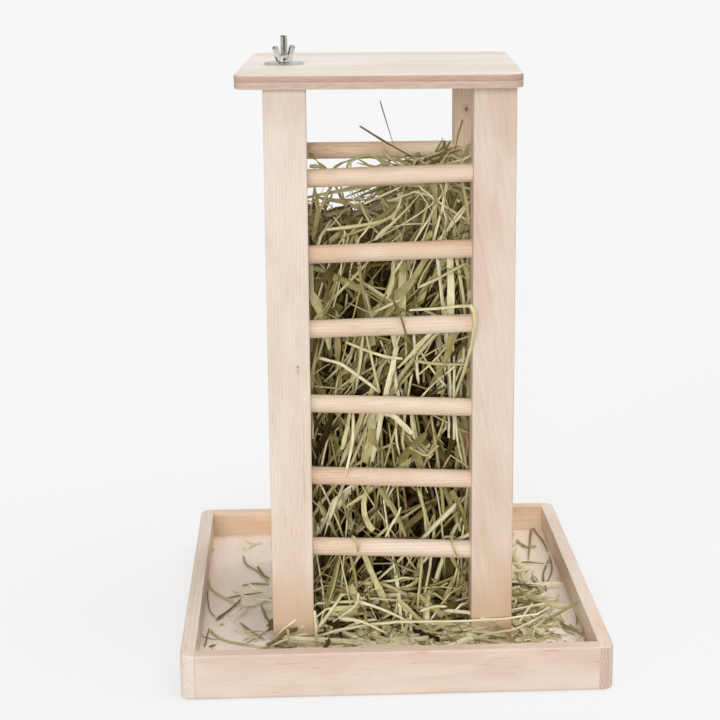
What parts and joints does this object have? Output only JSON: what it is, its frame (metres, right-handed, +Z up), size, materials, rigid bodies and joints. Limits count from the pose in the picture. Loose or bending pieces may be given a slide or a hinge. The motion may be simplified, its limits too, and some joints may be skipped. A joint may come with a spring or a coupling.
{
  "type": "hay feeder box",
  "caption": "Open wooden hay tower of posts and dowel rungs standing in a square tray, with a plywood lid that swivels about a bolt and wing nut.",
  "frame": {"origin": "middle of the tray's underside", "axes": "+Z up, -Y the front, +X to the right seen from the front; the lid's bolt is on the left"},
  "size_m": [0.35, 0.35, 0.516],
  "materials": {
    "tray_wood": "bare, sanded softwood",
    "floor_plywood": "bare, sanded plywood",
    "post_wood": "bare, sanded softwood",
    "rung_wood": "bare, sanded dowel",
    "lid_plywood": "bare, sanded plywood",
    "bolt_steel": "zinc plated",
    "washer_steel": "zinc plated",
    "nut_steel": "zinc plated",
    "screw_steel": "zinc plated",
    "brad_steel": "bright"
  },
  "bodies": {
    "stand": {"tray_floor": "floor_plywood", "tray_front_rail": "tray_wood", "tray_back_rail": "tray_wood", "tray_left_rail": "tray_wood", "tray_right_rail": "tray_wood", "tray_brads": "brad_steel", "post_screws": "screw_steel", "top_rail": "post_wood", "top_rail_dowels": "rung_wood", "lid_bolt": "bolt_steel", "post_front_left": "post_wood", "post_front_right": "post_wood", "post_rear_left": "post_wood", "post_rear_right": "post_wood", "front_rung_1": "rung_wood", "front_rung_2": "rung_wood", "front_rung_3": "rung_wood", "front_rung_4": "rung_wood", "front_rung_5": "rung_wood", "front_rung_6": "rung_wood", "rear_rung_1": "rung_wood", "rear_rung_2": "rung_wood", "rear_rung_3": "rung_wood", "rear_rung_4": "rung_wood", "rear_rung_5": "rung_wood", "rear_rung_6": "rung_wood", "left_rung_1": "rung_wood", "left_rung_2": "rung_wood", "left_rung_3": "rung_wood", "left_rung_4": "rung_wood", "left_rung_5": "rung_wood", "left_rung_6": "rung_wood", "right_rung_1": "rung_wood", "right_rung_2": "rung_wood", "right_rung_3": "rung_wood", "right_rung_4": "rung_wood", "right_rung_5": "rung_wood", "right_rung_6": "rung_wood"},
    "lid": {"lid": "lid_plywood"},
    "washer": {"washer": "washer_steel"},
    "wing_nut": {"wing_nut": "nut_steel"}
  },
  "joints": [
    {"name": "lid_swivel", "type": "hinge", "parent": "stand", "child": "lid", "pos_m": [-0.084, -0.005, 0.4813], "axis": [0, 0, 1], "continuous": true},
    {"name": "wing_nut_turn", "type": "hinge", "parent": "stand", "child": "washer", "pos_m": [-0.084, -0.005, 0.4923], "axis": [0, 0, 1], "range_deg": [0, 5400]},
    {"name": "wing_nut_lift", "type": "slide", "parent": "washer", "child": "wing_nut", "axis": [0, 0, 1], "range_m": [0, 0.015]}
  ],
  "couplings": [
    {"joint": "wing_nut_lift", "follows": "wing_nut_turn", "m_per_rad": 0.00015915}
  ]
}
